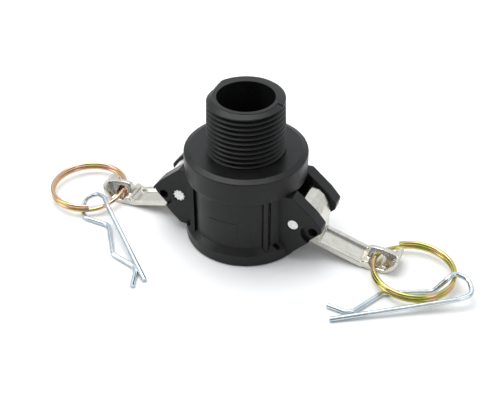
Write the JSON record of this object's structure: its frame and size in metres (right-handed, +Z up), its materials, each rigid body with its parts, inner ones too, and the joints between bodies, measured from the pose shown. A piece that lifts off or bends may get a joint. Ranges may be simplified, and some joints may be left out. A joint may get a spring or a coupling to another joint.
{
  "type": "cam lever hose coupling",
  "caption": "Plastic hose coupling with an open socket closed by two cam levers and a tapered male pipe thread, with split finger rings and spring wire safety clips on the levers.",
  "frame": {"origin": "centre of the mouth of the socket, at the level the coupling stands on", "axes": "+Z up along the axis to the end of the thread, +X and -X along the two open levers, -Y to the side with the straight front of the barrel"},
  "size_m": [0.1604, 0.066, 0.055],
  "materials": {
    "black_plastic": "moulded, glass filled, satin",
    "gasket_rubber": "matt black rubber",
    "pin_steel": "drawn stainless rod",
    "lever_steel": "cast stainless, blasted",
    "ring_zinc": "yellow chromated zinc on steel wire",
    "clip_zinc": "bright blue zinc on spring wire"
  },
  "bodies": {
    "body": {"body": "black_plastic", "gasket": "gasket_rubber", "pin_right": "pin_steel", "pin_left": "pin_steel"},
    "lever_right": {"lever_right": "lever_steel"},
    "lever_left": {"lever_left": "lever_steel"},
    "ring_right": {"ring_right": "ring_zinc"},
    "ring_left": {"ring_left": "ring_zinc"},
    "clip_right": {"clip_right": "clip_zinc"},
    "clip_left": {"clip_left": "clip_zinc"}
  },
  "joints": [
    {"name": "lever_right_cam", "type": "hinge", "parent": "body", "child": "lever_right", "pos_m": [0.0213, 0, 0.0154], "axis": [0, -1, 0], "range_deg": [0, 106]},
    {"name": "lever_left_cam", "type": "hinge", "parent": "body", "child": "lever_left", "pos_m": [-0.0213, 0, 0.0154], "axis": [0, 1, 0], "range_deg": [0, 106]},
    {"name": "ring_right_lift", "type": "hinge", "parent": "lever_right", "child": "ring_right", "pos_m": [0.0491, 0, 0.0033], "axis": [0, 1, 0], "range_deg": [-115, 0]},
    {"name": "ring_left_lift", "type": "hinge", "parent": "lever_left", "child": "ring_left", "pos_m": [-0.0497, 0, 0.0033], "axis": [0, -1, 0], "range_deg": [-115, 0]},
    {"name": "clip_right_round_ring", "type": "hinge", "parent": "ring_right", "child": "clip_right", "pos_m": [0.06235, -0.0031, 0.0033], "axis": [0, 0, 1], "range_deg": [-35, 130]},
    {"name": "clip_left_round_ring", "type": "hinge", "parent": "ring_left", "child": "clip_left", "pos_m": [-0.0627, -0.0041, 0.0033], "axis": [0, 0, 1], "range_deg": [-130, 15]}
  ]
}
